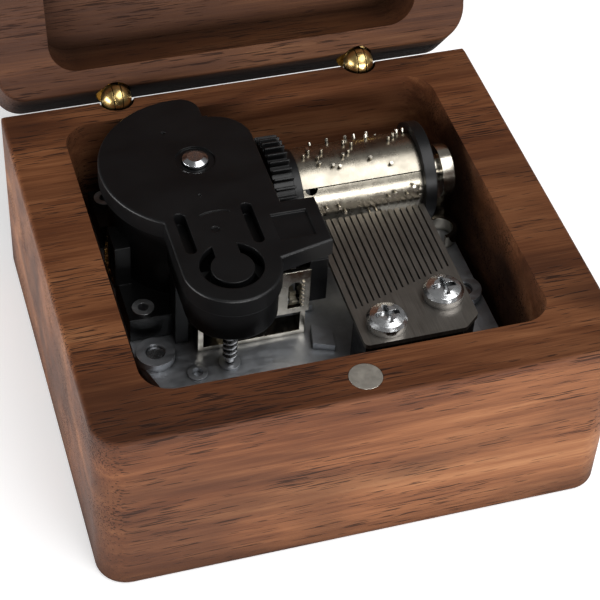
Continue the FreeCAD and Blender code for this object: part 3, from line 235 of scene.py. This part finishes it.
def moulded(name, colour, rough=(0.33, 0.46), grain=0.00016, depth=0.000012, specular=0.3):
    """Moulded plastic with a fine spark-eroded grain and faint flow marks."""
    s = Shader(name)
    point = s.point()
    texture = s.noise(point, (grain, grain, grain), detail=2.0)
    flow = s.noise(point, (0.009, 0.005, 0.005), detail=3.0)
    shade = s.mix(s.spread(flow, 0.3, 0.7), tuple(c * 0.8 for c in colour), tuple(c * 1.25 for c in colour))
    roughness = s.spread(s.math("ADD", s.math("MULTIPLY", texture, 0.4), s.math("MULTIPLY", flow, 0.6)),
                         0.35, 0.65, *rough)
    s.surface.inputs["Specular IOR Level"].default_value = specular
    normal = s.bump(texture, depth, 0.5, s.rounded(0.00022))
    return s.finish(base_color=shade, roughness=roughness, normal=normal)


def make_materials():
    return {
        "walnut": walnut("walnut_case", tone=1.22),
        "walnut_lid": walnut("walnut_lid", turn=OPEN_ANGLE, offset=0.4, tone=0.55),
        "magnet": plated("magnet_nickel", (0.78, 0.73, 0.64), rough=(0.3, 0.5)),
        "hinge_brass": plated("hinge_brass", (0.80, 0.56, 0.22), rough=(0.2, 0.36)),
        "hinge_steel": brushed("hinge_pin_steel", (0.6, 0.58, 0.52), (0.0001, 0.002, 0.002)),
        "zinc_plate": plated("zinc_plate", (0.80, 0.81, 0.82), rough=(0.3, 0.48)),
        "screw_zinc": plated("screw_zinc", (0.86, 0.87, 0.88), rough=(0.16, 0.34),
                             grain=(0.0006, 0.0006, 0.0006), wave=0.00008),
        "comb_steel": brushed("comb_steel", (0.29, 0.265, 0.235), (0.00012, 0.006, 0.006),
                              rough=(0.34, 0.5)),
        "anvil_iron": plated("anvil_iron", (0.06, 0.06, 0.065), rough=(0.35, 0.5)),
        "black_plastic": moulded("black_plastic", (0.0045, 0.0045, 0.0048), rough=(0.28, 0.4)),
        "nickel": plated("bright_nickel", (0.66, 0.61, 0.52), rough=(0.12, 0.28), wave=0.00003),
        "arbor_steel": plated("turned_steel", (0.62, 0.63, 0.65), rough=(0.14, 0.28)),
        "barrel_brass": plated("barrel_brass", (0.74, 0.53, 0.24), rough=(0.2, 0.36)),
        "spring_steel": brushed("spring_steel", (0.2, 0.23, 0.3), (0.006, 0.006, 0.0003)),
        "ivory_plastic": moulded("ivory_plastic", (0.72, 0.66, 0.52), rough=(0.4, 0.5)),
        "worm_steel": plated("worm_steel", (0.6, 0.6, 0.6), rough=(0.18, 0.3)),
        "rubber_weight": moulded("rubber_weight", (0.02, 0.02, 0.02), rough=(0.6, 0.75)),
    }


def dress_frame(materials):
    """Each piece takes its slot's look, except the bedplate and the cylinder's sleeve, which are duller."""
    own = {
        "cylinder_sleeve": plated("cylinder_nickel", (0.40, 0.365, 0.30), rough=(0.2, 0.34), wave=0.00003),
        "bedplate": plated("bedplate_zinc", (0.60, 0.62, 0.65), rough=(0.34, 0.62),
                           grain=(0.003, 0.0008, 0.003)),
    }
    for part in frame["record"]["subparts"]:
        mesh = NODES[part["node"]].data
        mesh.materials.clear()
        mesh.materials.append(own.get(part["node"], materials[part["material_slot"]]))


# ---------------------------------------------------------------- studio

def area_light(name, place, target, width, height, power, colour=(1, 1, 1)):
    data = bpy.data.lights.new(name, "AREA")
    data.shape = "RECTANGLE"
    data.size, data.size_y = width, height
    data.energy = power
    data.color = colour
    lamp = bpy.data.objects.new(name, data)
    bpy.context.scene.collection.objects.link(lamp)
    aim = (Vector(target) - Vector(place)).to_track_quat("-Z", "Y").to_matrix().to_4x4()
    lamp.matrix_world = Matrix.Translation(place) @ aim


def make_floor():
    s = Shader("studio_floor")
    tint = s.noise(s.point(), (0.4, 0.4, 0.4), detail=2.0)
    s.surface.inputs["Emission Color"].default_value = (1, 1, 1, 1)
    s.surface.inputs["Emission Strength"].default_value = 0.42
    material = s.finish(base_color=s.mix(tint, (0.88, 0.88, 0.89), (0.9, 0.9, 0.9)), roughness=0.6)
    reach = 3.0
    data = bpy.data.meshes.new("studio_floor")
    corners = [(x * reach, y * reach, -FLOOR_DROP) for x, y in ((-1, -1), (1, -1), (1, 1), (-1, 1))]
    data.from_pydata(corners, [], [(0, 1, 2, 3)])
    data.materials.append(material)
    floor = bpy.data.objects.new("studio_floor", data)
    bpy.context.scene.collection.objects.link(floor)


def make_studio():
    make_floor()
    centre = (0, 0, 0.03)
    area_light("softbox_top", (0.3, -0.3, 0.72), centre, 0.8, 0.6, 5.4)
    area_light("softbox_left", (-0.75, -0.05, 0.12), centre, 0.7, 0.2, 5.4)
    area_light("softbox_front", (0.1, -0.8, 0.13), centre, 0.9, 0.22, 7.2)
    world = bpy.data.worlds.new("studio")
    bpy.context.scene.world = world
    world.use_nodes = True
    world.node_tree.nodes["Background"].inputs["Color"].default_value = (1, 1, 1, 1)
    world.node_tree.nodes["Background"].inputs["Strength"].default_value = 0.16
    bpy.context.scene.view_settings.view_transform = "Standard"


def make_camera():
    """The photograph's own angle: from the front, a little to the left, and leaning over the case."""
    place = Vector((-64.7, -188.8, 215.6)) * MM
    aim = Vector((-4.5, -16.2, 30.2)) * MM
    roll = math.radians(3.72)
    data = bpy.data.cameras.new("camera")
    data.lens = 111.5
    data.sensor_width = 36.0
    camera = bpy.data.objects.new("camera", data)
    bpy.context.scene.collection.objects.link(camera)
    look = (aim - place).to_track_quat("-Z", "Y").to_matrix().to_4x4()
    camera.matrix_world = Matrix.Translation(place) @ look @ Matrix.Rotation(roll, 4, "Z")
    bpy.context.scene.camera = camera


materials = make_materials()
dress_frame(materials)
make_studio()
make_camera()
